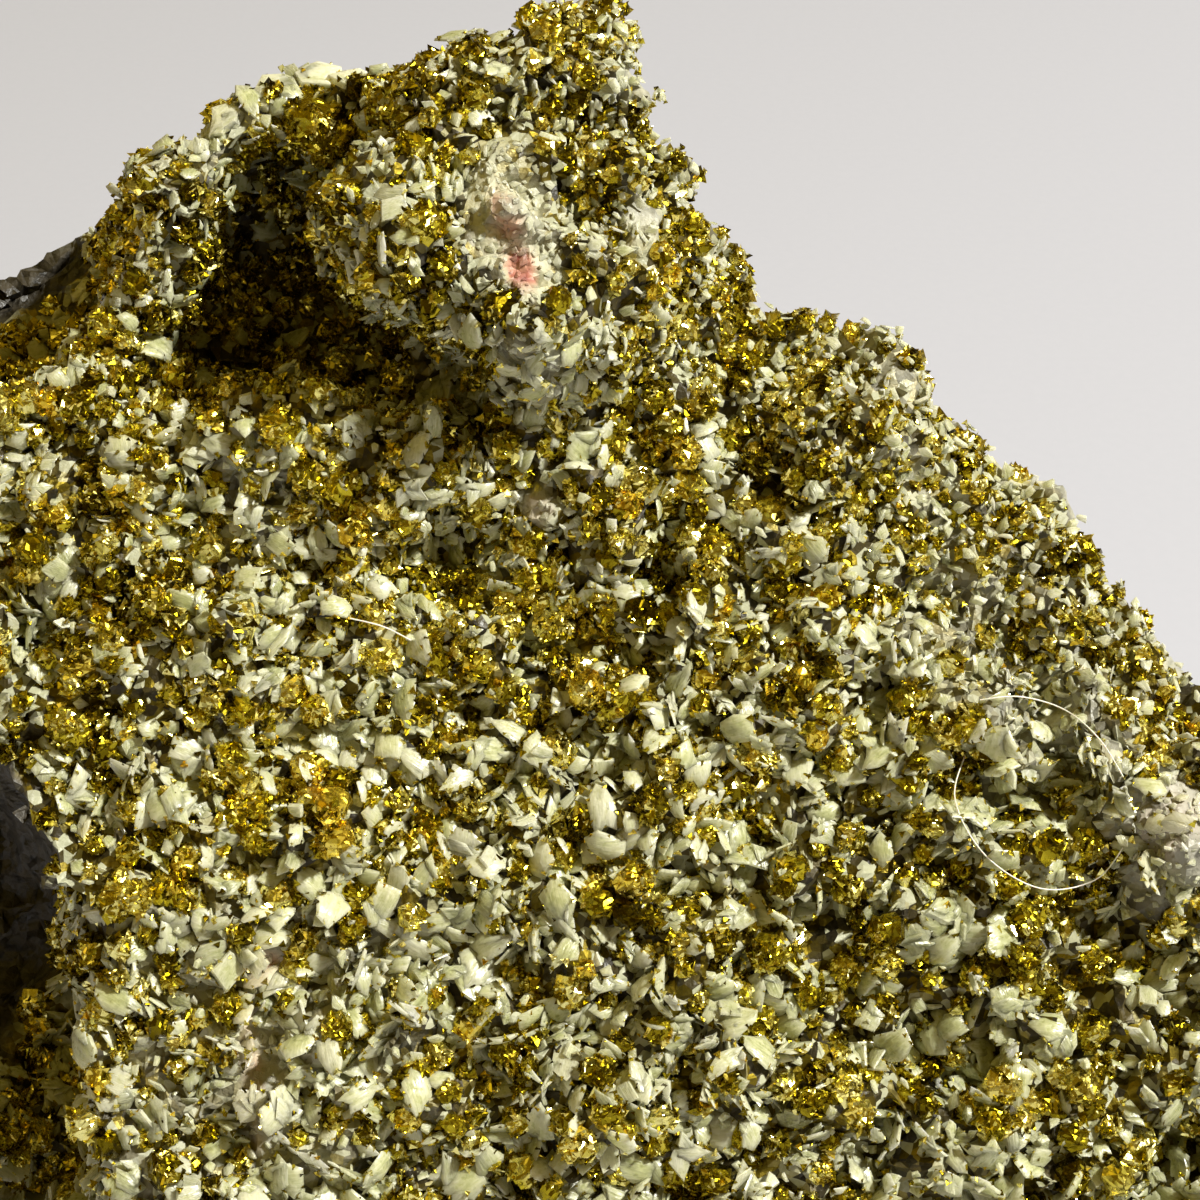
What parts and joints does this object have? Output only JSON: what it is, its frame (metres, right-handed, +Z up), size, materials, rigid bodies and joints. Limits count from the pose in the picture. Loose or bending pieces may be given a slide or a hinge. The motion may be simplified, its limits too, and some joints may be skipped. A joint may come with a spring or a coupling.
{
  "type": "chalcopyrite mineral specimen",
  "caption": "Broken block of pale dolomite standing on a flat base, its front face a druse of brassy chalcopyrite rosettes and milky dolomite blades",
  "frame": {"origin": "Middle of the specimen's box in plan, on the flat broken base that it stands on", "axes": "+Z up, the crystal face towards -Y and leaning back, +X to the right of someone who looks at the face"},
  "size_m": [0.0942, 0.0624, 0.0736],
  "materials": {
    "chalcopyrite_druse": "rough crystal crust, brassy and milky white",
    "chalcopyrite": "polished",
    "dolomite": "satin",
    "lint": "satin"
  },
  "bodies": {
    "root": {"chalcopyrite_on_dolomite": "chalcopyrite_druse"}
  },
  "joints": []
}
